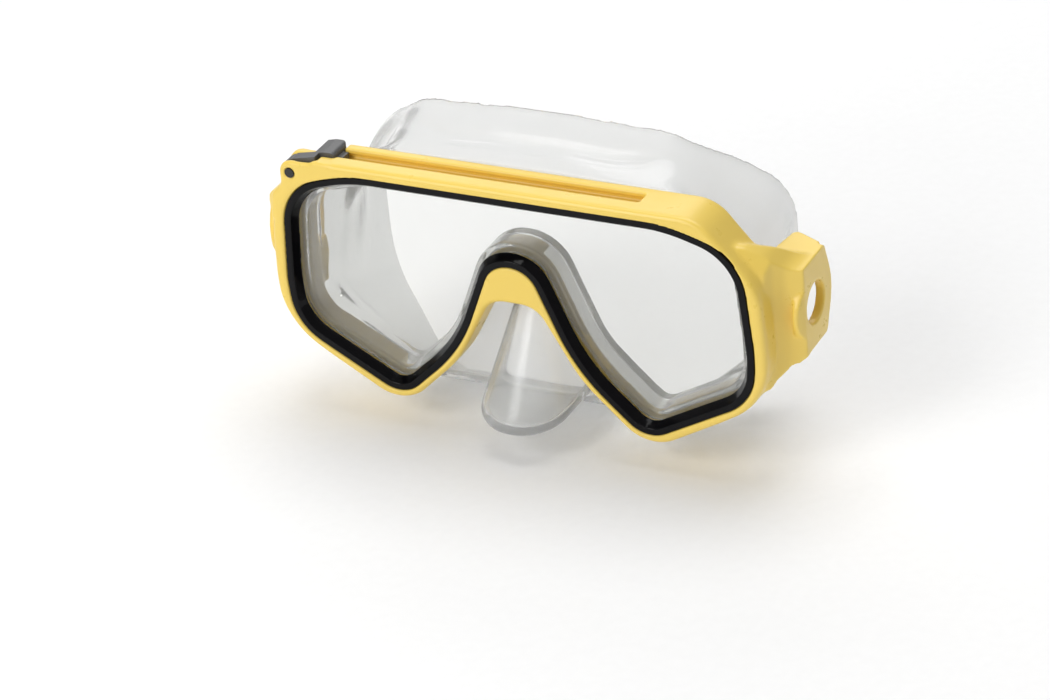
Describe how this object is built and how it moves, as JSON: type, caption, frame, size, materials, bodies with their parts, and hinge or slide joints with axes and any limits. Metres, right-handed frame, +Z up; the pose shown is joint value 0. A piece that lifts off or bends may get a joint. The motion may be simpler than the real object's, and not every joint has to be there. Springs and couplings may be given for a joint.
{
  "type": "diving mask",
  "caption": "Diving mask with a flat lens, rigid frame with strap ears, clear silicone skirt with nose pocket, and an accessory rail closed by a hinged latch.",
  "frame": {"origin": "middle of the underside of the whole mask's box", "axes": "+X to the wearer's left, +Y back towards the face, +Z up"},
  "size_m": [0.1612, 0.0579, 0.0904],
  "materials": {
    "yellow_plastic": "smooth semi-gloss",
    "black_plastic": "gloss",
    "glass": "polished",
    "clear_silicone": "translucent satin",
    "grey_plastic": "satin",
    "pin_black": "satin",
    "spring_steel": "drawn wire"
  },
  "bodies": {
    "mask": {"frame": "yellow_plastic", "lens_bezel": "black_plastic", "lens": "glass", "skirt": "clear_silicone", "latch_pin": "pin_black", "latch_spring": "spring_steel"},
    "latch": {"latch_lever": "grey_plastic"}
  },
  "joints": [
    {"name": "latch_hinge", "type": "hinge", "parent": "mask", "child": "latch", "pos_m": [-0.065, -0.01547, 0.0755], "axis": [0, -1, 0], "range_deg": [0, 75], "stiffness_Nm_per_rad": 0.002, "springref_deg": -9.74}
  ]
}
